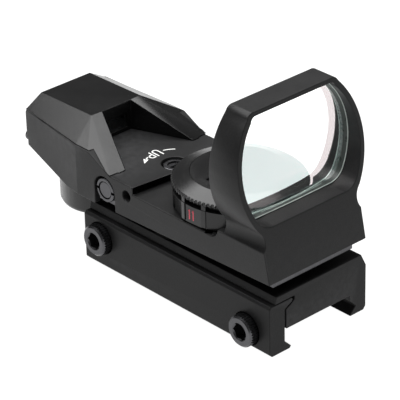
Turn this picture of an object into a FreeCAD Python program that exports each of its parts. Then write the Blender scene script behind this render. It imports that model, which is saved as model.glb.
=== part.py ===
import FreeCAD, Part
import math
import os

# Rail-mounted open reflex red dot finder. Millimetres.
# +Y points at the target, +X to the observer's right, +Z up.
# The origin is the centre of the rail seat face under the base.

V = FreeCAD.Vector

# base and clamp
BASE_HALF_LEN = 28.5
BASE_HALF_W = 13.85
BASE_TOP = 8.5
JAW_FOOT = -5.0
HOOK_ROOT_X = 10.75
PLATE_IN = 9.5
PLATE_OUT = 13.8
PLATE_TOP = 6.75
SLIT = 0.4
SCREW_R = 2.0
SCREW_HEAD_R = 3.5
SCREW_HEAD_H = 3.3
SOCKET_ACROSS = 3.4
SCREW_RECESS_R = 3.66
KNURL_COUNT = 36
FRONT_SCREW_Y, FRONT_SCREW_Z = 21.75, -0.8
REAR_SCREW_Y, REAR_SCREW_Z = -23.35, 2.0

# swing plate between the base and the body
SWING_BOTTOM = 9.8
SWING_TOP = 11.0
SWING_HALF_W = 11.3
SWING_FRONT = 27.0
SWING_REAR = -27.5
YAW_Y = 14.0
PITCH_Y, PITCH_Z = 20.5, 13.0
PIN_R = 1.0

# body
HALF_W = 13.75
WALL = 1.6
REAR_HALF_W = 11.3
TAPER_Y = -30.5
REAR_Y = -49.9
LEAN = 0.2053
FRONT_Y = 28.5
FRONT_BOTTOM = 11.8
LEDGE = 18.6
DECK = 18.3
BAY_FLOOR = 16.6
BAY_REAR = -11.0
BAY_SWEEP = 0.104
LIP_UNDER = 18.05
LIP_DEPTH = 1.4
BAY_FRONT = 13.5
FLOOR_UNDER = 14.8
DECK_UNDER = 16.7
DECK_STEP = BAY_REAR - 4.2
HOOD_REAR = 15.3
HOOD_TOP = 46.85
SILL = 23.2
FLARE = 0.7
SEAM = 21.65
SEAM_REAR = 22.4

# adjusters
WIND_Y, WIND_Z = -21.5, 14.2
ELEV_Y = -14.4
ELEV_HEAD_R = 2.6
ELEV_SEAT = 16.8
LOCK_Z = 15.6
LOCK_R = 1.2
ADJ_R = 1.5
RUN = 0.08

# dimmer knob
KNOB_Y = 5.4
KNOB_R = 14.0
KNOB_UNDER = 17.8
SKIRT_BOTTOM = 16.95
SKIRT_IN = 11.9
KNOB_RIM = 23.1
CAP_R = 10.1
CAP_TOP = 24.75
CELL_R = 10.0
CELL_H = 3.2
BOARD_TOP = 17.1
NUMBER_PANELS = 15
PANEL_PHASE = 3.0
RIM_NOTCHES = 90
DETENT_R = 12.6
DETENT_ANGLE = 171.0

# reticle selector
DRUM_Y = -39.0
DRUM_R = 9.2
FLANGE_R = 9.85
DRUM_BOTTOM = 0.8
FLANGE_Z = 15.4
TUBE_R = 4.4
BEAM_Z = 20.9
LEVER_ANGLE = 225.0

# lens
LENS_LEAN = 4.8
LENS_BALL_R = 134.0
LENS_T = 2.5
LENS_MID = V(0, 19.3, 35.0)
LENS_INSET = 0.38
BEAD_LOW, BEAD_HIGH = 0.5, 1.5


def box(x0, x1, y0, y1, z0, z1):
    return Part.makeBox(x1 - x0, y1 - y0, z1 - z0, V(x0, y0, z0))


def xcyl(y, z, r, x0, x1):
    return Part.makeCylinder(r, x1 - x0, V(x0, y, z), V(1, 0, 0))


def ycyl(x, z, r, y0, y1):
    return Part.makeCylinder(r, y1 - y0, V(x, y0, z), V(0, 1, 0))


def zcyl(x, y, r, z0, z1):
    return Part.makeCylinder(r, z1 - z0, V(x, y, z0), V(0, 0, 1))


def loop(points):
    return Part.Face(Part.makePolygon(points + [points[0]]))


def prism_x(points, x0, x1):
    return loop([V(x0, y, z) for y, z in points]).extrude(V(x1 - x0, 0, 0))


def prism_y(points, y0, y1):
    return loop([V(x, y0, z) for x, z in points]).extrude(V(0, y1 - y0, 0))


def prism_z(points, z0, z1):
    return loop([V(x, y, z0) for x, y in points]).extrude(V(0, 0, z1 - z0))


def turned(points, x, y):
    """Solid of revolution about a vertical axis from (radius, height) points."""
    shape = loop([V(r, 0, z) for r, z in points]).revolve(V(0, 0, 0), V(0, 0, 1), 360)
    shape.translate(V(x, y, 0))
    return shape


def half_space(point, normal):
    """A very large block lying on the outer side of a plane."""
    block = Part.makeBox(300, 300, 300, V(-150, -150, 0))
    block.Placement = FreeCAD.Placement(point, FreeCAD.Rotation(V(0, 0, 1), normal))
    return block


def trim(shape, corners, inside, inset=0.0):
    """Cut away what lies beyond the plane through three corners."""
    a, b, c = corners
    normal = (b - a).cross(c - a)
    normal.normalize()
    if normal.dot(inside - a) > 0:
        normal = normal * -1
    return shape.cut(half_space(a - normal * inset, normal))


def ball(x, y, z, r):
    return Part.makeSphere(r, V(x, y, z))


def hex_prism_x(y, z, across, x0, x1):
    r = across / math.sqrt(3)
    pts = []
    for i in range(6):
        t = math.radians(60 * i)
        pts.append((y + r * math.cos(t), z + r * math.sin(t)))
    return prism_x(pts, x0, x1)


def socket_screw_x(y, z, x_seat, x_tip):
    """Socket-head screw whose head is towards +X."""
    x_face = x_seat + SCREW_HEAD_H
    head = xcyl(y, z, SCREW_HEAD_R, x_seat, x_face)
    rim = [e for e in head.Edges if abs(e.CenterOfMass.x - x_face) < 1e-3]
    head = head.makeChamfer(0.45, rim)
    for i in range(KNURL_COUNT):
        t = 2 * math.pi * i / KNURL_COUNT
        y_cut = y + (SCREW_HEAD_R + 0.06) * math.cos(t)
        z_cut = z + (SCREW_HEAD_R + 0.06) * math.sin(t)
        head = head.cut(xcyl(y_cut, z_cut, 0.2, x_seat + 0.4, x_face + 1))
    lead_in = Part.makeCone(1.75, 2.05, 0.3, V(x_face - 0.3, y, z), V(1, 0, 0))
    head = head.cut(hex_prism_x(y, z, SOCKET_ACROSS, x_face - 2.3, x_face + 1)).cut(lead_in)
    shank = xcyl(y, z, SCREW_R, x_tip, x_seat)
    tip = [e for e in shank.Edges if abs(e.CenterOfMass.x - x_tip) < 1e-3]
    shank = shank.makeChamfer(0.4, tip)
    return head.fuse(shank)


# ---------------------------------------------------------------- base

def rail_base():
    flange = PLATE_TOP + 0.1
    root = HOOK_ROOT_X
    slit_x = PLATE_IN - SLIT
    profile = [
        (-12.4, BASE_TOP), (-BASE_HALF_W, 5.6), (-BASE_HALF_W, -4.2), (-13.2, JAW_FOOT),
        (-9.35, JAW_FOOT), (-9.1, -4.75), (-root, -3.15), (-root, -2.9), (-9.0, -1.15),
        (-9.0, 0.0), (slit_x, 0.0), (slit_x, 4.65), (7.0, 5.85), (6.75, 6.2),
        (6.8, flange), (12.3, flange), (11.8, BASE_TOP),
    ]
    body = prism_y(profile, -BASE_HALF_LEN, BASE_HALF_LEN)
    for y, z in ((FRONT_SCREW_Y, FRONT_SCREW_Z), (REAR_SCREW_Y, REAR_SCREW_Z)):
        body = body.cut(xcyl(y, z, SCREW_R + RUN, -BASE_HALF_W - 1, 12))
    body = body.cut(box(-9.5, slit_x, FRONT_SCREW_Y - 2.4, FRONT_SCREW_Y + 2.4, -1, 0.5))
    body = body.cut(zcyl(0, YAW_Y, 2.0, 2.5, BASE_TOP + 1))
    pocket = box(-2.6, 6.6, WIND_Y - 3.1, WIND_Y + 3.1, 5.2, BASE_TOP + 1)
    body = body.cut(pocket)
    for x in (-8.0, 8.0):
        body = body.cut(zcyl(x, -8.0, 2.5, BASE_TOP - 0.8, BASE_TOP + 1))
    return body


def jaw_plate():
    lip = [(PLATE_IN, 4.75), (7.55, 5.75), (7.25, 6.2), (7.6, PLATE_TOP)]
    outer = [(PLATE_OUT - 0.5, PLATE_TOP), (PLATE_OUT, PLATE_TOP - 0.5), (PLATE_OUT, -4.3)]
    hook = [(PLATE_OUT - 0.7, JAW_FOOT), (8.2, JAW_FOOT), (7.75, -4.5), (PLATE_IN, -2.75)]
    plate = prism_y(lip + outer + hook, -BASE_HALF_LEN, BASE_HALF_LEN)
    for y, z in ((FRONT_SCREW_Y, FRONT_SCREW_Z), (REAR_SCREW_Y, REAR_SCREW_Z)):
        plate = plate.cut(xcyl(y, z, SCREW_R + RUN, 5, 20))
        plate = plate.cut(xcyl(y, z, SCREW_RECESS_R, PLATE_OUT - 1.2, 20))
    return plate


def clamp_screw(y, z):
    return socket_screw_x(y, z, PLATE_OUT - 1.2, -11.6)


def windage_post():
    post = box(-2.6, 6.6, WIND_Y - 3.1, WIND_Y + 3.1, 5.2, 8.5)
    post = post.fuse(box(-1.6, 5.6, WIND_Y - 2.4, WIND_Y + 2.4, 8.5, 16.2))
    return post.cut(xcyl(WIND_Y, WIND_Z, ADJ_R + RUN + 0.02, -6, 10))


def yaw_pin():
    pin = zcyl(0, YAW_Y, 2.0, 2.5, SWING_TOP + 0.3)
    head = zcyl(0, YAW_Y, 3.4, SWING_TOP + 0.3, SWING_TOP + 1.3)
    slot = box(-4, 4, YAW_Y - 0.4, YAW_Y + 0.4, SWING_TOP + 0.8, SWING_TOP + 2)
    return pin.fuse(head).cut(slot)


def pivot_washer():
    ring = zcyl(0, YAW_Y, 5.0, BASE_TOP, SWING_BOTTOM - 0.02)
    return ring.cut(zcyl(0, YAW_Y, 2.02, BASE_TOP - 1, SWING_BOTTOM + 1))


def glide_pad(x):
    return zcyl(x, -8.0, 2.48, BASE_TOP - 0.8, SWING_BOTTOM - 0.02)


# ---------------------------------------------------------- swing plate

def swing_plate():
    plate = box(-SWING_HALF_W, SWING_HALF_W, SWING_REAR, SWING_FRONT, SWING_BOTTOM, SWING_TOP)
    plate = plate.cut(zcyl(0, YAW_Y, 2.0 + 0.03, 5, 20))
    for side in (-1, 1):
        x0, x1 = sorted((side * 7.2, side * 8.8))
        ear = box(x0, x1, PITCH_Y - 2.2, PITCH_Y + 2.2, SWING_TOP, PITCH_Z)
        ear = ear.fuse(xcyl(PITCH_Y, PITCH_Z, 1.65, x0, x1))
        plate = plate.fuse(ear)
    plate = plate.cut(xcyl(PITCH_Y, PITCH_Z, PIN_R, -10, 10))
    plate = plate.cut(box(-3.6, 7.6, WIND_Y - 3.2, WIND_Y + 3.2, 5, 20))
    lug = box(8.6, 11.0, WIND_Y - 2.9, WIND_Y + 2.9, SWING_BOTTOM, 16.4)
    plate = plate.fuse(lug)
    plate = plate.cut(xcyl(WIND_Y, WIND_Z, ADJ_R + 0.05, 5, 14))
    nut_block = box(-4.5, 4.5, ELEV_Y - 3.2, ELEV_Y + 2.8, SWING_BOTTOM, 13.2)
    plate = plate.fuse(nut_block)
    plate = plate.cut(xcyl(ELEV_Y, 11.5, 2.02, -6, 6))
    return plate.cut(zcyl(0, ELEV_Y, 2.1, 5, 20))


def elevation_nut():
    nut = xcyl(ELEV_Y, 11.5, 2.0, -4.4, 4.4)
    return nut.cut(zcyl(0, ELEV_Y, ADJ_R + RUN + 0.02, 5, 20))


def pitch_pin(side):
    x0, x1 = sorted((side * 6.9, side * 11.0))
    return xcyl(PITCH_Y, PITCH_Z, PIN_R, x0, x1)


def coil(x, y, r, wire, z0, z1, turns):
    pitch = (z1 - z0 - wire) / turns
    path = Part.makeHelix(pitch, pitch * turns, r)
    path.translate(V(x, y, z0 + wire / 2))
    start = V(x + r, y, z0 + wire / 2)
    ring = Part.Wire(Part.makeCircle(wire / 2, start, V(0, 1, 0)))
    return Part.Wire(path).makePipeShell([ring], True, True)


def windage_screw():
    face = 13.55
    head = xcyl(WIND_Y, WIND_Z, 2.75, 11.15, face)
    rim = [e for e in head.Edges if abs(e.CenterOfMass.x - face) < 1e-3]
    head = head.makeFillet(0.25, rim)
    ditch = xcyl(WIND_Y, WIND_Z, 2.05, face - 0.7, 15).cut(xcyl(WIND_Y, WIND_Z, 1.75, 10, 16))
    middle = xcyl(WIND_Y, WIND_Z, 1.9, face - 0.15, 15)
    slot = box(face - 0.7, 15, WIND_Y - 4, WIND_Y + 4, WIND_Z - 0.32, WIND_Z + 0.32)
    slot = slot.cut(xcyl(WIND_Y, WIND_Z, 1.75, 10, 16))
    shank = xcyl(WIND_Y, WIND_Z, ADJ_R, -3.4, 11.15)
    return head.cut(ditch).cut(middle).cut(slot).fuse(shank)


def spring_clip_x(y, z, x0, x1):
    ring = xcyl(y, z, 2.5, x0, x1).cut(xcyl(y, z, ADJ_R, x0 - 1, x1 + 1))
    return ring.cut(box(x0 - 1, x1 + 1, y - 0.9, y + 0.9, z - 4, z - 0.8))


# ----------------------------------------------------------------- body

def front_y(z):
    return FRONT_Y - LEAN * (z - FRONT_BOTTOM)


def outline_face(segments, y):
    """Face in an XZ plane from (kind, points) runs; its mirror closes it."""
    edges = []
    for sign in (1, -1):
        for run in segments:
            pts = [V(sign * x, y, z) for x, z in run]
            if len(pts) == 3:
                edges.append(Part.Arc(*pts).toShape())
            else:
                edges.append(Part.LineSegment(*pts).toShape())
    bottom, top = segments[0][0], segments[-1][-1]
    edges.append(Part.LineSegment(V(bottom[0], y, bottom[1]), V(-bottom[0], y, bottom[1])).toShape())
    edges.append(Part.LineSegment(V(top[0], y, top[1]), V(-top[0], y, top[1])).toShape())
    return Part.Face(Part.Wire(Part.__sortEdges__(edges)))


def hood_outline(y):
    runs = [
        ((HALF_W, 16.0), (HALF_W, LEDGE)),
        ((HALF_W, LEDGE), (13.02, 20.9), (14.25, 23.35)),
        ((14.25, 23.35), (17.35, 34.5), (12.6, 45.75)),
        ((12.6, 45.75), (12.0, 46.5), (11.1, HOOD_TOP)),
    ]
    return outline_face(runs, y)


def opening_outline(y, inset):
    runs = [
        ((9.8, SILL), (12.4, 23.85), (13.95, 25.4)),
        ((13.95, 25.4), (16.1, 33.5), (11.67, 44.75)),
        ((11.67, 44.75), (11.25, 45.45), (10.4, 45.85)),
    ]
    face = outline_face(runs, y)
    if inset:
        face = Part.Face(face.OuterWire.makeOffset2D(-inset))
    return face


def plan_prism(inset, z0, z1):
    half, rear = HALF_W - inset, REAR_HALF_W - inset
    right = [(half, FRONT_Y + 2), (half, TAPER_Y), (rear, REAR_Y)]
    left = [(-x, y) for x, y in reversed(right)]
    return prism_z(right + left, z0, z1)


def side_profile():
    return [
        (front_y(FRONT_BOTTOM), FRONT_BOTTOM), (front_y(LEDGE), LEDGE), (BAY_FRONT - 1, LEDGE),
        (BAY_REAR, LEDGE - 0.01), (BAY_REAR, DECK), (-19.6, DECK), (-26.3, SEAM),
        (TAPER_Y, SEAM), (REAR_Y, SEAM_REAR), (REAR_Y, 13.8), (-34.4, 9.95), (-24.0, 9.95),
        (-18.5, 10.2),
    ]


def hollow_profile():
    return [
        (25.4, 0), (25.4, FLOOR_UNDER), (DECK_STEP, FLOOR_UNDER), (DECK_STEP, DECK_UNDER),
        (-33.8, DECK_UNDER), (-33.8, 30), (-49.0, 30), (-49.0, 15.0), (-36.6, 11.5),
        (-28.4, 11.4), (-28.4, 0),
    ]


def lower_body():
    body = prism_x(side_profile(), -20, 20).common(plan_prism(0, 0, 60))
    hollow = prism_x(hollow_profile(), -20, 20).common(plan_prism(WALL, -5, 60))
    body = body.cut(hollow)
    above_deck = box(-11.7, 11.7, REAR_Y - 1, BAY_REAR - 1, DECK, 40).common(plan_prism(WALL, 0, 60))
    return body.cut(above_deck)


def bay_space():
    """The open bay under the knob, with a swept deck edge and its undercut."""
    side = BAY_REAR - BAY_SWEEP * 20
    plan = [(-20, side), (0, BAY_REAR), (20, side), (20, BAY_FRONT - 2), (-20, BAY_FRONT - 2)]
    bay = prism_z(plan, BAY_FLOOR, 19.5)
    under = prism_z([(x, y - LIP_DEPTH) for x, y in plan], BAY_FLOOR, LIP_UNDER)
    under = under.common(box(-13.2, 13.2, -30, BAY_FRONT - 4, 0, 30))
    bay = bay.fuse(under)
    bay = bay.fuse(box(-20, 20, BAY_FRONT - 3, BAY_FRONT, BAY_FLOOR + 2, 19.5))
    return bay.fuse(xcyl(BAY_FRONT - 2, BAY_FLOOR + 2, 2.0, -20, 20))


def hood():
    shell = hood_outline(HOOD_REAR).extrude(V(0, 20, 0))
    lean_normal = V(0, 1, LEAN)
    lean_normal.normalize()
    shell = shell.cut(half_space(V(0, FRONT_Y, FRONT_BOTTOM), lean_normal))
    return shell


def opening_flare():
    """Chamfer round the rear edge of the lens opening."""
    wide = opening_outline(HOOD_REAR - 0.4, -FLARE - 0.4)
    narrow = opening_outline(HOOD_REAR + FLARE, 0)
    return Part.makeLoft([wide.OuterWire, narrow.OuterWire], True, True)


def detent_place():
    angle = math.radians(DETENT_ANGLE)
    return DETENT_R * math.cos(angle), KNOB_Y + DETENT_R * math.sin(angle)


def main_housing():
    body = lower_body().fuse(hood())
    body = body.cut(opening_outline(0, 0).extrude(V(0, 40, 0)))
    body = body.cut(opening_flare())
    body = body.cut(zcyl(0, KNOB_Y, KNOB_R + 0.5, BAY_FLOOR, 30))
    for side in (-1, 1):
        x0, x1 = sorted((side * 9.1, side * (HALF_W - WALL + 0.2)))
        boss = box(x0, x1, PITCH_Y - 2.4, PITCH_Y + 2.4, PITCH_Z - 1.6, FLOOR_UNDER + 0.2)
        body = body.fuse(boss)
    body = body.cut(xcyl(PITCH_Y, PITCH_Z, PIN_R + 0.03, -11.4, 11.4))
    body = body.fuse(zcyl(0, KNOB_Y, 4.6, 12.6, FLOOR_UNDER + 0.2))
    body = body.cut(zcyl(0, KNOB_Y, 2.2, 13.0, 20))
    body = body.fuse(zcyl(0, ELEV_Y, 4.4, 14.6, DECK_UNDER + 0.2))
    body = body.fuse(box(2.0, HALF_W - 0.4, ELEV_Y - 2.4, ELEV_Y + 2.4, 14.6, DECK_UNDER + 0.2))
    body = body.fuse(box(3.2, HALF_W - 0.4, ELEV_Y - 2.4, ELEV_Y + 2.4, 13.8, 14.8))
    body = body.cut(bay_space())
    body = body.cut(zcyl(0, ELEV_Y, ADJ_R + 0.05, 10, 30))
    body = body.cut(zcyl(0, ELEV_Y, ELEV_HEAD_R + 0.3, ELEV_SEAT, 30))
    body = body.cut(xcyl(ELEV_Y, LOCK_Z, LOCK_R + 0.05, 3.1, 20))
    body = body.cut(xcyl(ELEV_Y, LOCK_Z, 0.6, 1.0, 4))
    arch = box(10, 20, WIND_Y - 3.25, WIND_Y + 3.25, 5, WIND_Z)
    arch = arch.fuse(xcyl(WIND_Y, WIND_Z, 3.25, 10, 20))
    body = body.cut(arch)
    body = body.cut(box(-2.6, 12.4, WIND_Y - 3.5, WIND_Y + 3.5, 16.0, DECK_UNDER + 0.6))
    body = body.cut(zcyl(0, DRUM_Y, DRUM_R + 0.3, 5, 15.2))
    body = body.cut(box(-8.6, 8.6, REAR_Y - 3, REAR_Y + 3, 16.2, 40))
    for x in (-9.6, 9.6):
        body = body.cut(ycyl(x, 15.4, 0.75, REAR_Y - 1, REAR_Y + 1.2))
    x, y = detent_place()
    body = body.fuse(zcyl(x, y, 1.2, 13.2, FLOOR_UNDER + 0.2))
    body = body.cut(zcyl(x, y, 0.65, 13.6, 20))
    return body.removeSplitter()


def lens_space(y_wide, inset):
    lens_face = opening_outline(y_wide, inset)
    column = lens_face.extrude(V(0, 40, 0))
    tilt = math.radians(LENS_LEAN)
    back = V(0, -math.cos(tilt), -math.sin(tilt))
    centre = LENS_MID + back * LENS_BALL_R
    outer = Part.makeSphere(LENS_BALL_R + LENS_T / 2, centre)
    inner = Part.makeSphere(LENS_BALL_R - LENS_T / 2, centre)
    return column.common(outer).cut(inner)


def lens():
    return lens_space(5, LENS_INSET)


def lens_seal():
    """Seat ring round the glass with a sloping bead in front of it."""
    tilt = math.radians(LENS_LEAN)
    normal = V(0, math.cos(tilt), math.sin(tilt))
    ring = opening_outline(5, 0.0).extrude(V(0, 40, 0))
    ring = ring.cut(opening_outline(4, 0.5).extrude(V(0, 42, 0)))
    wires = []
    for inset, ahead in ((0.42, BEAD_LOW), (0.0, BEAD_HIGH)):
        wire = opening_outline(LENS_MID.y, inset).OuterWire
        wire.rotate(LENS_MID, V(1, 0, 0), LENS_LEAN)
        wire.translate(V(0, ahead / math.cos(tilt), 0))
        wires.append(wire)
    ring = ring.cut(Part.makeLoft(wires, True, True))
    ring = ring.cut(half_space(LENS_MID + normal * (BEAD_HIGH - 0.12), normal))
    ring = ring.cut(half_space(LENS_MID - normal * 1.5, normal * -1))
    return ring.cut(lens_space(5, LENS_INSET))


def emitter_shape(inset):
    """Faceted hood over the emitter; inset moves every outer plane inwards."""
    rear = V(6.9, REAR_Y, 25.05)
    top = V(6.9, -33.0, 25.4)
    ridge_rear = V(REAR_HALF_W + 0.05, REAR_Y, SEAM_REAR)
    ridge_a = V(13.7, TAPER_Y, SEAM)
    ridge_b = V(13.7, -26.3, SEAM)
    foot_out = V(13.55, -19.6, 18.5)
    foot_in = V(9.6, -19.3, 18.5)
    inside = V(0, -40, 20)
    shape = box(-HALF_W + inset, HALF_W - inset, REAR_Y + inset, -19.2, DECK, 30)
    shape = shape.common(plan_prism(inset, 0, 60))
    for side in (1, -1):
        def m(p):
            return V(side * p.x, p.y, p.z)
        planes = (
            (m(top), m(rear), V(0, -33.0, 25.4)),
            (m(top), m(rear), m(ridge_a)),
            (m(top), m(ridge_a), m(ridge_b)),
            (m(top), m(ridge_b), m(foot_out)),
            (m(top), m(foot_out), m(foot_in)),
        )
        for corners in planes:
            shape = trim(shape, corners, inside, inset)
    return shape


def tunnel(grow):
    half_in, half_out = 4.0 + grow, 9.6 + grow
    pts = [(half_in, -32.8 - grow), (half_out, -19.2), (half_out, -15), (-half_out, -15)]
    pts += [(-half_out, -19.2), (-half_in, -32.8 - grow)]
    return prism_z(pts, 10, 40)


def seam_wedge():
    """The space below the seam line, taken by the body's side walls."""
    pts = [(-19.0, 10), (-19.0, 18.45), (-19.6, 18.45), (-26.3, SEAM + 0.12), (TAPER_Y, SEAM + 0.12)]
    pts += [(REAR_Y - 2, SEAM_REAR + 0.2), (REAR_Y - 2, 10)]
    outer = prism_x(pts, -20, 20)
    return outer.cut(box(-11.5, 11.5, -60, 0, 0, 60).common(plan_prism(WALL + 0.2, 0, 60)))


def emitter_cover():
    cover = emitter_shape(0)
    hollow = emitter_shape(1.2).cut(tunnel(1.1)).cut(box(-20, 20, -60, 0, 24.3, 40))
    cover = cover.cut(hollow).cut(tunnel(0)).cut(seam_wedge())
    below = box(-20, 20, -33.9, -10, 0, DECK + 0.05)
    cover = cover.cut(below).cut(box(-20, 20, -60, -33.8, 0, DECK))
    cover = cover.cut(box(-2.8, 2.8, -40, -30, BEAM_Z - 1.6, BEAM_Z + 1.6))
    bodies = sorted(cover.Solids, key=lambda s: s.Volume)
    return bodies[-1]


def emitter_window():
    return box(-2.75, 2.75, -33.7, -33.1, BEAM_Z - 1.55, BEAM_Z + 1.55)


def rear_plate():
    plate = prism_y([(-10.9, 14.4), (10.9, 14.4), (10.9, 22.2), (-10.9, 22.2)], REAR_Y - 0.8, REAR_Y - 0.02)
    corners = [e for e in plate.Edges if abs(e.Length - 0.78) < 1e-3]
    plate = plate.makeFillet(1.0, corners)
    for x in (-9.6, 9.6):
        plate = plate.cut(ycyl(x, 15.4, 0.75, REAR_Y - 2, REAR_Y + 2))
    return plate


def rear_screw(x):
    screw = ycyl(x, 15.4, 0.75, REAR_Y - 0.8, REAR_Y + 1.1)
    head = ycyl(x, 15.4, 1.3, REAR_Y - 1.5, REAR_Y - 0.8)
    rim = [e for e in head.Edges if abs(e.CenterOfMass.y - REAR_Y + 1.5) < 1e-3]
    head = head.makeFillet(0.3, rim)
    cross = box(x - 0.75, x + 0.75, REAR_Y - 2, REAR_Y - 1.15, 15.25, 15.55)
    cross = cross.fuse(box(x - 0.15, x + 0.15, REAR_Y - 2, REAR_Y - 1.15, 14.65, 16.15))
    return screw.fuse(head).cut(cross)


def led_board():
    return box(-2.2, 2.2, -40.9, -40.1, 18.4, 23.95)


def led():
    body = ycyl(0, BEAM_Z, 1.5, -40.1, -37.6).fuse(ball(0, -37.6, BEAM_Z, 1.5))
    return body.fuse(ycyl(0, BEAM_Z, 1.75, -40.1, -39.5))


# --------------------------------------------------------------- adjusters

def elevation_screw():
    head = zcyl(0, ELEV_Y, ELEV_HEAD_R, ELEV_SEAT, 17.95)
    rim = [e for e in head.Edges if abs(e.CenterOfMass.z - 17.95) < 1e-3]
    head = head.makeFillet(0.35, rim)
    dish = zcyl(0, ELEV_Y, 1.6, 17.6, 20)
    slot = box(-1.55, 1.55, ELEV_Y - 0.35, ELEV_Y + 0.35, 17.15, 20)
    shank = zcyl(0, ELEV_Y, ADJ_R, 9.1, ELEV_SEAT)
    return head.cut(dish).cut(slot).fuse(shank)


def elevation_clip():
    ring = zcyl(0, ELEV_Y, 2.5, 13.95, 14.45)
    ring = ring.cut(zcyl(0, ELEV_Y, ADJ_R, 12, 16))
    return ring.cut(box(-0.9, 0.9, ELEV_Y - 4, ELEV_Y - 0.8, 13, 15))


def lock_screw():
    screw = xcyl(ELEV_Y, LOCK_Z, LOCK_R, 3.2, 7.4).fuse(xcyl(ELEV_Y, LOCK_Z, 0.55, 1.55, 3.2))
    return screw.cut(hex_prism_x(ELEV_Y, LOCK_Z, 1.1, 5.6, 9))


# -------------------------------------------------------------------- knob

def ring_of(shape, count, phase=0.0):
    """Copies of a shape spaced evenly round the knob's axis."""
    copies = []
    for i in range(count):
        item = shape.copy()
        item.rotate(V(0, KNOB_Y, 0), V(0, 0, 1), phase + 360.0 * i / count)
        copies.append(item)
    return copies


def dimmer_knob():
    side, neck = 13.85, 12.8
    groove_low, groove_high = 21.1, 22.2
    profile = [
        (2.5, KNOB_UNDER), (SKIRT_IN, KNOB_UNDER), (SKIRT_IN, SKIRT_BOTTOM), (side - 0.3, SKIRT_BOTTOM),
        (side, SKIRT_BOTTOM + 0.3), (side, groove_low), (neck, groove_low + 0.15), (neck, groove_high),
        (KNOB_R, groove_high + 0.15), (KNOB_R, KNOB_RIM - 0.25), (KNOB_R - 0.35, KNOB_RIM),
        (CAP_R + 0.1, 24.25), (CAP_R + 0.1, 19.4), (4.1, 19.4), (4.1, 18.6), (2.5, 18.6),
    ]
    knob = turned(profile, 0, KNOB_Y)
    half_pitch = math.radians(180.0 / NUMBER_PANELS)
    rib = 1.0
    width = 2 * 13.5 * math.tan(half_pitch) - rib
    flat = box(13.42, 16, KNOB_Y - width / 2, KNOB_Y + width / 2, SKIRT_BOTTOM - 1, groove_low)
    knob = knob.cut(ring_of(flat, NUMBER_PANELS, PANEL_PHASE))
    bar = box(neck - 0.5, side - 0.1, KNOB_Y - rib / 2, KNOB_Y + rib / 2, 20.0, groove_high + 0.3)
    knob = knob.fuse(ring_of(bar, NUMBER_PANELS, PANEL_PHASE + 180.0 / NUMBER_PANELS))
    notch = zcyl(KNOB_R + 0.05, KNOB_Y, 0.37, 22.0, 24)
    knob = knob.cut(ring_of(notch, RIM_NOTCHES))
    dimple = ball(DETENT_R, KNOB_Y, SKIRT_BOTTOM - 0.35, 0.6)
    return knob.cut(ring_of(dimple, NUMBER_PANELS, DETENT_ANGLE))


def battery_cap():
    profile = [(0, 23.1), (CAP_R, 23.1), (CAP_R, 24.25), (0, CAP_TOP)]
    cap = turned(profile, 0, KNOB_Y)
    slot = box(-7.6, 7.6, KNOB_Y - 0.4, KNOB_Y + 0.4, 24.2, 26)
    for x in (-7.6, 7.6):
        slot = slot.fuse(zcyl(x, KNOB_Y, 0.45, 23.6, 26))
    slot.rotate(V(0, KNOB_Y, 0), V(0, 0, 1), -8)
    groove = zcyl(0, KNOB_Y, CAP_R + 1, 23.45, 23.95).cut(zcyl(0, KNOB_Y, CAP_R - 0.6, 23, 25))
    return cap.cut(slot).cut(groove)


def cap_seal():
    ring = Part.makeTorus(CAP_R - 0.3, 0.22, V(0, KNOB_Y, 23.7), V(0, 0, 1))
    return ring.cut(zcyl(0, KNOB_Y, CAP_R - 0.58, 23, 25))


def coin_cell():
    z0 = 19.85
    can = turned([(0, z0), (8.8, z0), (8.8, z0 + 0.25), (CELL_R, z0 + 0.5), (CELL_R, z0 + CELL_H - 0.3),
                  (CELL_R - 0.3, z0 + CELL_H), (0, z0 + CELL_H)], 0, KNOB_Y)
    return can


def contact_spring():
    plate = zcyl(0, KNOB_Y, 7.4, 19.42, 19.6).cut(zcyl(0, KNOB_Y, 4.2, 19, 20))
    for angle in (0, 120, 240):
        finger = box(4.6, 7.0, KNOB_Y - 0.7, KNOB_Y + 0.7, 19.5, 19.83)
        finger.rotate(V(0, KNOB_Y, 0), V(0, 0, 1), angle)
        plate = plate.fuse(finger)
    return plate


def knob_wiper():
    ring = zcyl(0, KNOB_Y, 9.0, 17.6, KNOB_UNDER - 0.01).cut(zcyl(0, KNOB_Y, 6.2, 17, 18))
    for angle in (30, 150, 270):
        shoe = zcyl(7.6, KNOB_Y, 0.7, BOARD_TOP + 0.03, 17.7)
        shoe.rotate(V(0, KNOB_Y, 0), V(0, 0, 1), angle)
        ring = ring.fuse(shoe)
    return ring


def knob_screw():
    shank = zcyl(0, KNOB_Y, 2.18, 13.2, BAY_FLOOR).fuse(zcyl(0, KNOB_Y, 2.42, BAY_FLOOR, 18.66))
    head = zcyl(0, KNOB_Y, 3.7, 18.66, 19.3)
    cross = box(-2, 2, KNOB_Y - 0.4, KNOB_Y + 0.4, 18.95, 20)
    return shank.fuse(head).cut(cross)


def dimmer_board():
    board = zcyl(0, KNOB_Y, 11.4, BAY_FLOOR, BOARD_TOP)
    return board.cut(zcyl(0, KNOB_Y, 2.8, 16, 18))


def detent_ball():
    x, y = detent_place()
    return ball(x, y, SKIRT_BOTTOM - 0.62, 0.6)


def detent_spring():
    x, y = detent_place()
    return coil(x, y, 0.38, 0.2, 13.62, SKIRT_BOTTOM - 1.24, 4)


# ---------------------------------------------------------------- selector

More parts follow.
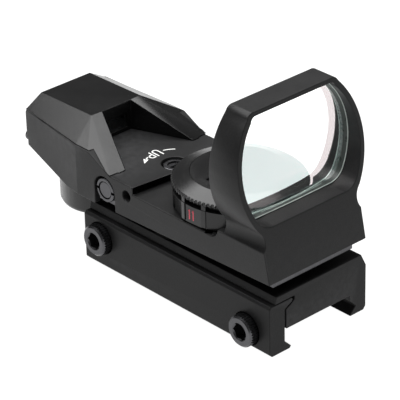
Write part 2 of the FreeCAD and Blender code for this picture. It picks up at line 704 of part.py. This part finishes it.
def selector_drum():
    tube_in = TUBE_R - 0.75
    profile = [
        (0, DRUM_BOTTOM), (DRUM_R - 1.3, DRUM_BOTTOM), (DRUM_R - 0.4, DRUM_BOTTOM + 0.4),
        (DRUM_R, DRUM_BOTTOM + 1.3), (DRUM_R, FLANGE_Z), (FLANGE_R, FLANGE_Z), (FLANGE_R, FLANGE_Z + 0.9),
        (TUBE_R, FLANGE_Z + 0.9), (TUBE_R, 23.3), (tube_in, 23.3), (tube_in, 17.4),
        (0, 17.4),
    ]
    drum = turned(profile, 0, DRUM_Y)
    window = box(0, 6, DRUM_Y - 1.1, DRUM_Y + 1.1, BEAM_Z - 1.2, BEAM_Z + 1.2)
    for angle in (0, 30, 60, 90):
        cut = window.copy()
        cut.rotate(V(0, DRUM_Y, 0), V(0, 0, 1), angle)
        drum = drum.cut(cut)
    lever = box(DRUM_R - 1.5, 14.6, DRUM_Y - 1.6, DRUM_Y + 1.6, 3.2, 6.2)
    ends = [e for e in lever.Edges if abs(e.CenterOfMass.x - 14.6) < 1e-3]
    lever = lever.makeFillet(0.7, ends)
    lever.rotate(V(0, DRUM_Y, 0), V(0, 0, 1), LEVER_ANGLE)
    return drum.fuse(lever)


def reticle_film():
    ring = zcyl(0, DRUM_Y, TUBE_R - 0.76, BEAM_Z - 1.7, BEAM_Z + 1.7)
    ring = ring.cut(zcyl(0, DRUM_Y, TUBE_R - 0.9, 10, 30))
    keep = prism_z([(0, DRUM_Y), (8, DRUM_Y - 3), (8, DRUM_Y + 8), (-3, DRUM_Y + 8)], 10, 30)
    return ring.common(keep)


PARTS = {
    "rail_base": rail_base,
    "jaw_plate": jaw_plate,
    "clamp_screw_front": lambda: clamp_screw(FRONT_SCREW_Y, FRONT_SCREW_Z),
    "clamp_screw_rear": lambda: clamp_screw(REAR_SCREW_Y, REAR_SCREW_Z),
    "windage_post": windage_post,
    "yaw_pin": yaw_pin,
    "pivot_washer": pivot_washer,
    "glide_pad_left": lambda: glide_pad(-8.0),
    "glide_pad_right": lambda: glide_pad(8.0),
    "swing_plate": swing_plate,
    "elevation_nut": elevation_nut,
    "pitch_pin_left": lambda: pitch_pin(-1),
    "pitch_pin_right": lambda: pitch_pin(1),
    "preload_spring": lambda: coil(0, -4.0, 2.2, 0.45, SWING_TOP, FLOOR_UNDER, 4),
    "windage_screw": windage_screw,
    "windage_clip": lambda: spring_clip_x(WIND_Y, WIND_Z, 8.0, 8.55),
    "main_housing": main_housing,
    "lens": lens,
    "lens_seal": lens_seal,
    "emitter_cover": emitter_cover,
    "emitter_window": emitter_window,
    "rear_plate": rear_plate,
    "rear_screw_left": lambda: rear_screw(-9.6),
    "rear_screw_right": lambda: rear_screw(9.6),
    "led_board": led_board,
    "led": led,
    "elevation_screw": elevation_screw,
    "elevation_clip": elevation_clip,
    "lock_screw": lock_screw,
    "dimmer_knob": dimmer_knob,
    "battery_cap": battery_cap,
    "cap_seal": cap_seal,
    "coin_cell": coin_cell,
    "contact_spring": contact_spring,
    "knob_wiper": knob_wiper,
    "knob_screw": knob_screw,
    "dimmer_board": dimmer_board,
    "detent_ball": detent_ball,
    "detent_spring": detent_spring,
    "selector_drum": selector_drum,
    "reticle_film": reticle_film,
}


def main():
    os.makedirs("parts", exist_ok=True)
    for name, make in PARTS.items():
        shape = make()
        if len(shape.Solids) != 1 or not shape.isValid():
            print("check", name, "solids", len(shape.Solids), "valid", shape.isValid())
        solid = shape.Solids[0] if len(shape.Solids) == 1 else shape
        solid.exportStep("parts/" + name + ".step")


main()
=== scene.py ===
import math

import bmesh
import bpy
from mathutils import Matrix, Vector


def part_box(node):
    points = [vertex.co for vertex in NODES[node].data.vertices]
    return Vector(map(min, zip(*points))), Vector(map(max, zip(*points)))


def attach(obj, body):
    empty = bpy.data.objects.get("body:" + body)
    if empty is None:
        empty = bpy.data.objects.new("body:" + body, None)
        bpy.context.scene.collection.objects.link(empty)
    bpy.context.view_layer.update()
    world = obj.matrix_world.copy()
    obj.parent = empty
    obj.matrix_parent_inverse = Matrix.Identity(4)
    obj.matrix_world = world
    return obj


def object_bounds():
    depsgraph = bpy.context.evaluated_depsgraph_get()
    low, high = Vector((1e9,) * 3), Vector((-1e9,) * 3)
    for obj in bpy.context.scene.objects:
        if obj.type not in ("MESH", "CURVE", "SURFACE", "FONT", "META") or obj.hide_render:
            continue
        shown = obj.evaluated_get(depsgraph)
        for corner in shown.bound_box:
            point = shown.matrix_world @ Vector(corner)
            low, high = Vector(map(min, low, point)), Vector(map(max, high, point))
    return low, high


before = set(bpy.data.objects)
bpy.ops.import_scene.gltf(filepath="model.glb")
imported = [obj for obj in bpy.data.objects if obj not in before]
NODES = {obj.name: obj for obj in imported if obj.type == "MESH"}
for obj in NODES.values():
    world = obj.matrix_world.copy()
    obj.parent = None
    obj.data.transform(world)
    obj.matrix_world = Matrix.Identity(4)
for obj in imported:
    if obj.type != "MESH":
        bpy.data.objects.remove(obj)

MM = 0.001
SAME_PLACE = 2e-6
FLAT_ENOUGH = math.radians(0.8)
CORNER = math.radians(28)
GLASS_FACING = 0.5
BEAD_WIDTH = 0.3 * MM
CAD_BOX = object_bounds()
SCENE = bpy.context.scene
LENS_LEAN = math.radians(4.8)
LENS_AXIS = Vector((0, math.cos(LENS_LEAN), math.sin(LENS_LEAN)))


# ------------------------------------------------------------ node helpers

class Graph:
    """A material's node tree with short calls for the nodes used here."""

    def __init__(self, name):
        self.material = bpy.data.materials.new(name)
        self.material.use_nodes = True
        self.tree = self.material.node_tree
        self.tree.nodes.clear()
        self.shader = self.add("ShaderNodeBsdfPrincipled")
        out = self.add("ShaderNodeOutputMaterial")
        self.join(self.shader.outputs[0], out.inputs["Surface"])
        self.where = self.add("ShaderNodeTexCoord").outputs["Object"]

    def add(self, kind, **values):
        node = self.tree.nodes.new(kind)
        for key, value in values.items():
            setattr(node, key, value)
        return node

    def join(self, a, b):
        self.tree.links.new(a, b)

    def noise(self, scale, detail=3.0, rough=0.55):
        node = self.add("ShaderNodeTexNoise")
        node.inputs["Scale"].default_value = scale
        node.inputs["Detail"].default_value = detail
        node.inputs["Roughness"].default_value = rough
        self.join(self.where, node.inputs["Vector"])
        return node.outputs["Fac"]

    def span(self, value, low, high, to_low, to_high):
        node = self.add("ShaderNodeMapRange")
        for index, number in enumerate((low, high, to_low, to_high), start=1):
            node.inputs[index].default_value = number
        self.join(value, node.inputs[0])
        return node.outputs[0]

    def blend(self, factor, a, b):
        node = self.add("ShaderNodeMix", data_type="RGBA")
        self.join(factor, node.inputs[0])
        for socket, colour in ((node.inputs[6], a), (node.inputs[7], b)):
            if isinstance(colour, tuple):
                socket.default_value = (*colour, 1.0)
            else:
                self.join(colour, socket)
        return node.outputs[2]

    def math(self, kind, a, b):
        node = self.add("ShaderNodeMath", operation=kind)
        for socket, value in ((node.inputs[0], a), (node.inputs[1], b)):
            if isinstance(value, (int, float)):
                socket.default_value = value
            else:
                self.join(value, socket)
        return node.outputs[0]

    def bump(self, height, strength, distance):
        node = self.add("ShaderNodeBump")
        node.inputs["Strength"].default_value = strength
        node.inputs["Distance"].default_value = distance
        self.join(height, node.inputs["Height"])
        self.join(node.outputs[0], self.shader.inputs["Normal"])


# --------------------------------------------------------------- materials

def worn_edges(g, colour, highlight_colour, low=0.53, high=0.62):
    """Painted highlight: convex edges are painted a little lighter, unevenly."""
    sharp = g.add("ShaderNodeNewGeometry").outputs["Pointiness"]
    patchy = g.span(g.noise(700.0, 4.0), 0.35, 0.65, 0.35, 1.0)
    return g.blend(g.math("MULTIPLY", g.span(sharp, low, high, 0.0, 1.0), patchy), colour, highlight_colour)


def blasted_black(name, tone=0.0125, rough=0.4, grain=3600.0, shine=0.2):
    """Bead-blasted, black anodised aluminium."""
    g = Graph(name)
    fine = g.noise(grain, 2.0)
    cloud = g.noise(90.0, 4.0)
    dark = (tone * 0.7, tone * 0.7, tone * 0.72)
    light = (tone * 1.36, tone * 1.36, tone * 1.38)
    mixed = g.math("ADD", g.span(cloud, 0.3, 0.7, 0.0, 0.5), g.span(fine, 0.35, 0.65, 0.0, 0.5))
    body = g.blend(mixed, dark, light)
    # Convex edges get a painted highlight, three times the base tone.
    g.join(worn_edges(g, body, (tone * 3.0, tone * 3.0, tone * 3.1)), g.shader.inputs["Base Color"])
    g.join(g.span(cloud, 0.3, 0.7, rough - 0.05, rough + 0.06), g.shader.inputs["Roughness"])
    g.shader.inputs["Specular IOR Level"].default_value = shine
    g.bump(fine, 0.45, 0.00005)
    return g.material


def moulded_plastic(name, tone=0.005, rough=0.22, grain=3800.0, shine=0.4):
    """Fine-textured black moulding, a little glossier than the metal."""
    g = Graph(name)
    fine = g.noise(grain, 2.0)
    cloud = g.noise(70.0, 3.0)
    body = g.blend(cloud, (tone * 0.9, tone * 0.9, tone * 0.92), (tone * 1.12, tone * 1.12, tone * 1.14))
    # Convex edges get a painted highlight, a little over three times the base tone.
    g.join(worn_edges(g, body, (tone * 3.2, tone * 3.2, tone * 3.2)), g.shader.inputs["Base Color"])
    g.join(g.span(cloud, 0.3, 0.7, rough - 0.04, rough + 0.05), g.shader.inputs["Roughness"])
    g.shader.inputs["Specular IOR Level"].default_value = shine
    g.bump(fine, 0.25, 0.00003)
    return g.material


def steel(name, colour, rough, grain=2600.0):
    """Turned or rolled steel with faint machining lines."""
    g = Graph(name)
    g.shader.inputs["Metallic"].default_value = 1.0
    stretch = g.add("ShaderNodeMapping")
    stretch.inputs["Scale"].default_value = (1.0, 0.15, 0.15)
    g.join(g.where, stretch.inputs["Vector"])
    lines = g.add("ShaderNodeTexNoise")
    lines.inputs["Scale"].default_value = grain
    g.join(stretch.outputs[0], lines.inputs["Vector"])
    low = tuple(c * 0.85 for c in colour)
    high = tuple(min(1.0, c * 1.15) for c in colour)
    g.join(g.blend(g.noise(400.0), low, high), g.shader.inputs["Base Color"])
    g.join(g.span(lines.outputs["Fac"], 0.3, 0.7, rough * 0.8, rough * 1.25), g.shader.inputs["Roughness"])
    g.bump(lines.outputs["Fac"], 0.12, 0.00002)
    return g.material


def clear_for_lamps(g, surface):
    """Lamps shine through the glass on to what is behind it."""
    path = g.add("ShaderNodeLightPath")
    open_side = g.add("ShaderNodeBsdfTransparent")
    pick = g.add("ShaderNodeMixShader")
    g.join(path.outputs["Is Shadow Ray"], pick.inputs[0])
    g.join(surface, pick.inputs[1])
    g.join(open_side.outputs[0], pick.inputs[2])
    out = next(n for n in g.tree.nodes if n.type == "OUTPUT_MATERIAL")
    g.join(pick.outputs[0], out.inputs["Surface"])


def window_glass(name, tint):
    """Plain clear glass."""
    g = Graph(name)
    inputs = g.shader.inputs
    inputs["Transmission Weight"].default_value = 1.0
    inputs["IOR"].default_value = 1.5
    inputs["Base Color"].default_value = (*tint, 1.0)
    g.join(g.span(g.noise(60.0, 2.0), 0.3, 0.8, 0.0, 0.02), inputs["Roughness"])
    clear_for_lamps(g, g.shader.outputs[0])
    return g.material


def mirror_glass(name, passed, thrown, share):
    """The lens front: a wavelength-splitting coating over clear glass."""
    g = Graph(name)
    inputs = g.shader.inputs
    inputs["Transmission Weight"].default_value = 1.0
    inputs["IOR"].default_value = 1.45
    inputs["Base Color"].default_value = (*passed, 1.0)
    g.join(g.span(g.noise(60.0, 2.0), 0.3, 0.8, 0.0, 0.015), inputs["Roughness"])
    mirror = g.add("ShaderNodeBsdfGlossy")
    mirror.inputs["Color"].default_value = (*thrown, 1.0)
    mirror.inputs["Roughness"].default_value = 0.02
    both = g.add("ShaderNodeMixShader")
    both.inputs[0].default_value = share
    g.join(g.shader.outputs[0], both.inputs[1])
    g.join(mirror.outputs[0], both.inputs[2])
    clear_for_lamps(g, both.outputs[0])
    return g.material


def ground_edge(name, colour):
    """The lens rim: finely ground, green in depth."""
    g = Graph(name)
    streak = g.noise(1500.0, 3.0)
    low = tuple(c * 0.55 for c in colour)
    g.join(g.blend(streak, low, colour), g.shader.inputs["Base Color"])
    g.join(g.span(streak, 0.3, 0.7, 0.18, 0.34), g.shader.inputs["Roughness"])
    g.bump(streak, 0.2, 0.00003)
    return g.material


def plain(name, colour, rough, spread=0.12, metallic=0.0, grain=900.0, bump=0.1):
    """Small inner pieces: a tinted, faintly grained surface."""
    g = Graph(name)
    g.shader.inputs["Metallic"].default_value = metallic
    fine = g.noise(grain, 3.0)
    low = tuple(c * (1 - spread) for c in colour)
    high = tuple(min(1.0, c * (1 + spread)) for c in colour)
    g.join(g.blend(fine, low, high), g.shader.inputs["Base Color"])
    g.join(g.span(fine, 0.3, 0.7, rough - 0.05, rough + 0.05), g.shader.inputs["Roughness"])
    g.bump(fine, bump, 0.00003)
    return g.material


def make_materials():
    return {
        "metal": blasted_black("black_aluminium"),
        "clamp": blasted_black("black_aluminium_clamp", 0.0095, 0.4, shine=0.14),
        "cover": moulded_plastic("black_cover"),
        "knob": moulded_plastic("black_knob", 0.006, 0.23),
        "screw": steel("black_oxide_steel", (0.09, 0.09, 0.095), 0.3),
        "steel": steel("bright_steel", (0.56, 0.56, 0.57), 0.28),
        "spring": steel("spring_wire", (0.46, 0.46, 0.47), 0.32),
        "cell": steel("cell_can", (0.72, 0.72, 0.73), 0.22),
        "brass": plain("turned_brass", (0.72, 0.52, 0.24), 0.3, metallic=1.0),
        "nylon": plain("natural_nylon", (0.78, 0.77, 0.72), 0.5),
        "rubber": plain("black_rubber", (0.02, 0.02, 0.02), 0.7),
        "sealant": plain("dark_sealant", (0.045, 0.055, 0.05), 0.3, spread=0.25),
        "chamfer": plain("ground_chamfer", (0.3, 0.36, 0.33), 0.4, spread=0.2),
        # Light colour for the painted highlight line on the sealant bead's top edge.
        "painted_bead_highlight": plain("painted_bead_highlight", (0.5, 0.55, 0.52), 0.4, spread=0.25),
        "lens_front": mirror_glass("lens_coating", (0.915, 0.77, 0.775), (2.69, 3.18, 3.11), 0.2),
        "lens_back": window_glass("lens_glass", (1.0, 1.0, 1.0)),
        "lens_rim": ground_edge("lens_ground_rim", (0.06, 0.1, 0.095)),
        "window": window_glass("emitter_glass", (0.8, 0.85, 0.86)),
        "board": plain("fibreglass_board", (0.03, 0.16, 0.08), 0.42),
        "led": plain("led_plastic", (0.6, 0.05, 0.04), 0.2),
        "film": plain("opaque_film", (0.012, 0.012, 0.013), 0.6),
        "ink": plain("white_ink", (0.82, 0.82, 0.80), 0.55, spread=0.05),
        "red_ink": plain("red_ink", (0.6, 0.05, 0.08), 0.5, spread=0.08),
    }


NODE_FINISH = {
    "metal": ["main_housing"],
    "clamp": ["rail_base", "jaw_plate"],
    "cover": ["emitter_cover", "rear_plate", "selector_drum"],
    "knob": ["dimmer_knob", "battery_cap"],
    "screw": [
        "swing_plate", "clamp_screw_front", "clamp_screw_rear", "windage_screw", "windage_clip",
        "elevation_screw", "elevation_clip", "lock_screw", "rear_screw_left", "rear_screw_right",
    ],
    "steel": ["yaw_pin", "pitch_pin_left", "pitch_pin_right", "knob_screw", "detent_ball"],
    "spring": ["preload_spring", "detent_spring", "contact_spring", "knob_wiper"],
    "cell": ["coin_cell"],
    "brass": ["windage_post", "elevation_nut"],
    "nylon": ["pivot_washer", "glide_pad_left", "glide_pad_right"],
    "rubber": ["cap_seal"],
    "sealant": ["lens_seal"],
    "window": ["emitter_window"],
    "board": ["led_board", "dimmer_board"],
    "led": ["led"],
    "film": ["reticle_film"],
}

EDGE_MM = {
    "main_housing": 0.2, "rail_base": 0.16, "jaw_plate": 0.16, "emitter_cover": 0.14,
    "rear_plate": 0.12, "swing_plate": 0.1, "selector_drum": 0.2,
}


def finish_nodes(materials):
    for finish, names in NODE_FINISH.items():
        for name in names:
            data = NODES[name].data
            data.materials.clear()
            data.materials.append(materials[finish])


def finish_lens(materials):
    """Coated front, plain back and a ground rim, told apart by which way each face looks."""
    data = NODES["lens"].data
    data.materials.clear()
    for finish in ("lens_front", "lens_back", "lens_rim"):
        data.materials.append(materials[finish])
    for face in data.polygons:
        facing = face.normal.y
        face.material_index = 0 if facing > GLASS_FACING else 1 if facing < -GLASS_FACING else 2


def soften_edges():
    """Real edges are broken: flat faces are made whole again, then their corners are rounded."""
    for name, width in EDGE_MM.items():
        item = NODES[name]
        weld = item.modifiers.new("weld", "WELD")
        weld.merge_threshold = SAME_PLACE
        whole = item.modifiers.new("whole", "DECIMATE")
        whole.decimate_type = "DISSOLVE"
        whole.angle_limit = FLAT_ENOUGH
        bevel = item.modifiers.new("edges", "BEVEL")
        bevel.width = width * MM
        bevel.segments = 3
        bevel.limit_method = "ANGLE"
        bevel.angle_limit = CORNER
        bevel.use_clamp_overlap = False
        bevel.harden_normals = True


# ------------------------------------------------------------------ prints

def ink_stroke(bm, points, width, place, height):
    """A flat printed line: a ribbon with square ends and a little ink thickness."""
    points = [Vector(p) for p in points]
    left, right = [], []
    for i, point in enumerate(points):
        before = points[max(i - 1, 0)]
        after = points[min(i + 1, len(points) - 1)]
        along = (after - before).normalized()
        side = Vector((-along.y, along.x)) * width / 2
        left.append(point + side)
        right.append(point - side)
    ink_patch(bm, left + right[::-1], place, height)


def ink_patch(bm, outline, place, height):
    """A closed thin slab over a flat outline."""
    rings = []
    for lift in (0.0, height):
        rings.append([bm.verts.new(place(p.x, p.y, lift)) for p in outline])
    low, high = rings
    count = len(outline)
    half = count // 2
    for i in range(half - 1):
        quad = (i, i + 1, count - 2 - i, count - 1 - i)
        bm.faces.new([high[k] for k in quad])
        bm.faces.new([low[k] for k in reversed(quad)])
    for i in range(count):
        j = (i + 1) % count
        bm.faces.new((low[i], low[j], high[j], high[i]))


def arc(cx, cy, radius, start, end, count=10):
    turns = [math.radians(start + (end - start) * i / (count - 1)) for i in range(count)]
    return [(cx + radius * math.cos(t), cy + radius * math.sin(t)) for t in turns]


def printed(name, bm, material, body):
    bmesh.ops.recalc_face_normals(bm, faces=bm.faces)
    mesh = bpy.data.meshes.new(name)
    bm.to_mesh(mesh)
    bm.free()
    mesh.materials.append(material)
    piece = bpy.data.objects.new(name, mesh)
    SCENE.collection.objects.link(piece)
    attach(piece, body)


def make_up_mark(material):
    """White UP and a curved arrow printed round the elevation screw."""
    low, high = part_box("elevation_screw")
    cx, cy = (low[0] + high[0]) / 2 / MM, (low[1] + high[1]) / 2 / MM
    deck = high[2] / MM + 0.35
    radius, line, ink = 6.4, 0.31, 0.02

    def place(x, y, lift):
        return Vector((x * MM, y * MM, (deck + lift) * MM))

    bm = bmesh.new()
    ink_stroke(bm, arc(cx, cy, radius, 227, 251), line, place, ink)
    ink_stroke(bm, arc(cx, cy, radius, 291, 302, 5), line, place, ink)
    wide_end, narrow_end = 0.58, 0.03
    head = [
        (radius - wide_end, 300), (radius - narrow_end, 317),
        (radius + narrow_end, 317), (radius + wide_end, 300),
    ]
    ink_patch(bm, [Vector(arc(cx, cy, r, turn, turn, 2)[0]) for r, turn in head], place, ink)
    base, top = cy - 7.4, cy - 4.75
    ink_stroke(bm, [(-1.15, top), (-1.15, base + 0.7)] + arc(-0.5, base + 0.65, 0.65, 180, 360)
               + [(0.15, base + 0.7), (0.15, top)], line, place, ink)
    ink_stroke(bm, [(0.85, base), (0.85, top)], line, place, ink)
    ink_stroke(bm, [(0.85, top - 0.15), (1.3, top - 0.15)] + arc(1.35, top - 0.8, 0.65, 90, -90)
               + [(1.3, top - 1.45), (0.85, top - 1.45)], line, place, ink)
    printed("up_mark", bm, material, "upper")


def digit_strokes(digit):
    """Lines of one numeral in a box 1 wide and 2 tall."""
    shapes = {
        "0": [[(0, 0.4), (0, 1.6), (0.25, 2), (0.75, 2), (1, 1.6), (1, 0.4), (0.75, 0), (0.25, 0), (0, 0.4)]],
        "1": [[(0.2, 1.6), (0.55, 2), (0.55, 0)]],
        "3": [[(0, 2), (1, 2), (0.45, 1.2), (0.8, 1.1), (1, 0.7), (1, 0.35), (0.7, 0), (0.2, 0), (0, 0.3)]],
        "5": [[(1, 2), (0.1, 2), (0.05, 1.15), (0.7, 1.2), (1, 0.8), (1, 0.4), (0.7, 0), (0, 0.05)]],
        "7": [[(0, 2), (1, 2), (0.35, 0)]],
        "9": [[(0.1, 0), (0.7, 0.4), (1, 1.1), (1, 1.6), (0.75, 2), (0.25, 2), (0, 1.6), (0, 1.3),
               (0.25, 0.9), (0.7, 0.9), (1, 1.2)]],
    }
    return shapes[digit]


def make_knob_numbers(material):
    """Brightness numbers on the knob: off, 1, then every second step up to 11."""
    low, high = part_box("battery_cap")
    cx, cy = (low[0] + high[0]) / 2, (low[1] + high[1]) / 2
    panels, first, flat = 15, 3.0, 13.42 * MM
    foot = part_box("dimmer_knob")[0][2] + 0.75 * MM
    tall, wide, gap, line, ink, aside = 2.3, 0.8, 0.25, 0.32, 0.02, -0.65
    bm = bmesh.new()
    for number in (0, 1, 3, 5, 7, 9, 11):
        angle = math.radians(first + (number - 11) * 360.0 / panels)
        out = Vector((math.cos(angle), math.sin(angle), 0))
        along = Vector((-out.y, out.x, 0))
        text = str(number)
        start = aside - (len(text) * wide + (len(text) - 1) * gap) / 2

        def place(x, y, lift):
            centre = Vector((cx, cy, foot)) + out * (flat + lift * MM)
            return centre + along * x * MM + Vector((0, 0, y * MM))

        for i, digit in enumerate(text):
            left = start + i * (wide + gap)
            for stroke in digit_strokes(digit):
                points = [(left + x * wide, y * tall / 2) for x, y in stroke]
                ink_stroke(bm, points, line, place, ink)
    printed("knob_numbers", bm, material, "knob")


# ------------------------------------------------------------ lens chamfer

def front_rim():
    """Points round the front edge of the glass, in order."""
    data = NODES["lens"].data
    place = NODES["lens"].matrix_world
    spots, uses, links = {}, {}, {}
    for face in data.polygons:
        if face.material_index != 0:
            continue
        keys = []
        for index in face.vertices:
            point = place @ data.vertices[index].co
            key = tuple(round(v, 7) for v in point)
            spots[key] = point
            keys.append(key)
        for pair in zip(keys, keys[1:] + keys[:1]):
            pair = tuple(sorted(pair))
            if pair[0] != pair[1]:
                uses[pair] = uses.get(pair, 0) + 1
    for (a, b), count in uses.items():
        if count == 1:
            links.setdefault(a, []).append(b)
            links.setdefault(b, []).append(a)
    start = min(links)
    before, here, loop = None, start, []
    while (here != start or not loop) and len(loop) < len(links):
        loop.append(spots[here])
        onward = links[here][0] if links[here][0] != before else links[here][1]
        before, here = here, onward
    return loop


def thin_ring(name, loop, radius, material):
    """A fine round line along a closed loop, on the body that carries the lens."""
    count, sides = len(loop), 6
    bm = bmesh.new()
    rings = []
    for i, point in enumerate(loop):
        along = (loop[(i + 1) % count] - loop[i - 1]).normalized()
        out = along.cross(LENS_AXIS).normalized()
        turns = [math.tau * k / sides for k in range(sides)]
        section = [(out * math.cos(t) + LENS_AXIS * math.sin(t)) * radius for t in turns]
        rings.append([bm.verts.new(point + offset) for offset in section])
    for i, ring in enumerate(rings):
        after = rings[(i + 1) % count]
        for k in range(sides):
            m = (k + 1) % sides
            bm.faces.new((ring[k], ring[m], after[m], after[k]))
    printed(name, bm, material, "upper")


def make_lens_lines(dim, bright):
    """Ground chamfer of the glass, and a painted highlight: a light line along the top edge of the sealant
    bead beside the wall.
    """
    loop = front_rim()
    thin_ring("lens_chamfer", loop, 0.09 * MM, dim)
    seal = NODES["lens_seal"]
    top = max(LENS_AXIS.dot(seal.matrix_world @ v.co) for v in seal.data.vertices)
    low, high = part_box("lens")
    middle = (Vector(low) + Vector(high)) / 2
    edge = []
    for point in loop:
        away = point - middle
        away = (away - LENS_AXIS * away.dot(LENS_AXIS)).normalized()
        moved = point + away * BEAD_WIDTH
        edge.append(moved + LENS_AXIS * (top - LENS_AXIS.dot(moved)))
    # This light ring is a painted highlight on the top edge of the sealant bead.
    thin_ring("painted_seal_highlight", edge, 0.11 * MM, bright)


# ------------------------------------------------------------------ stage

def add_softbox(energy, width, spot, aim):
    """One large round lamp overhead."""
    data = bpy.data.lights.new("overhead", "AREA")
    data.energy = energy
    data.shape = "DISK"
    data.size = width
    lamp = bpy.data.objects.new("overhead", data)
    lamp.location = spot
    lamp.rotation_euler = (Vector(aim) - Vector(spot)).to_track_quat("-Z", "Y").to_euler()
    SCENE.collection.objects.link(lamp)


def make_stage():
    low = CAD_BOX[0]
    mesh = bpy.data.meshes.new("floor")
    half = 3.0
    corners = [(-half, -half, low[2]), (half, -half, low[2]), (half, half, low[2]), (-half, half, low[2])]
    mesh.from_pydata(corners, [], [(0, 1, 2, 3)])
    floor = bpy.data.objects.new("floor", mesh)
    SCENE.collection.objects.link(floor)
    g = Graph("pale_floor")
    g.join(g.blend(g.noise(8.0), (0.1, 0.1, 0.1), (0.12, 0.12, 0.12)), g.shader.inputs["Base Color"])
    g.shader.inputs["Roughness"].default_value = 0.9
    g.shader.inputs["Emission Color"].default_value = (1.0, 1.0, 1.0, 1.0)
    g.shader.inputs["Emission Strength"].default_value = 1.0
    mesh.materials.append(g.material)
    world = bpy.data.worlds.new("studio")
    world.use_nodes = True
    world.node_tree.nodes["Background"].inputs["Color"].default_value = (1, 1, 1, 1)
    world.node_tree.nodes["Background"].inputs["Strength"].default_value = 0.13
    SCENE.world = world
    add_softbox(5.6, 0.67, (-0.01, -0.125, 0.5), (0, 0, 0.02))
    SCENE.view_settings.view_transform = "Standard"


# ----------------------------------------------------------------- camera

def make_camera():
    """Looks down on the front right corner through a long lens."""
    azimuth, elevation, roll = math.radians(137.5), math.radians(28.74), math.radians(-1.16)
    distance, focal = 0.513, 221.94
    aim = Vector((0, 0, 0.015))
    level = Vector((math.cos(azimuth), math.sin(azimuth), 0))
    back = Vector((level.y * math.cos(elevation), -level.x * math.cos(elevation), math.sin(elevation)))
    upward = back.cross(level)
    right = math.cos(roll) * level + math.sin(roll) * upward
    up = -math.sin(roll) * level + math.cos(roll) * upward
    place = aim + back * distance
    axes = Matrix((right, up, back)).transposed().to_4x4()
    data = bpy.data.cameras.new("camera")
    data.sensor_width = 36.0
    data.lens = focal
    data.shift_x = -0.054
    data.clip_start = 0.01
    camera = bpy.data.objects.new("camera", data)
    camera.matrix_world = Matrix.Translation(place) @ axes
    SCENE.collection.objects.link(camera)
    SCENE.camera = camera


make_stage()
make_camera()
MATERIALS = make_materials()
finish_nodes(MATERIALS)
finish_lens(MATERIALS)
soften_edges()
make_up_mark(MATERIALS["ink"])
make_knob_numbers(MATERIALS["red_ink"])
make_lens_lines(MATERIALS["chamfer"], MATERIALS["painted_bead_highlight"])
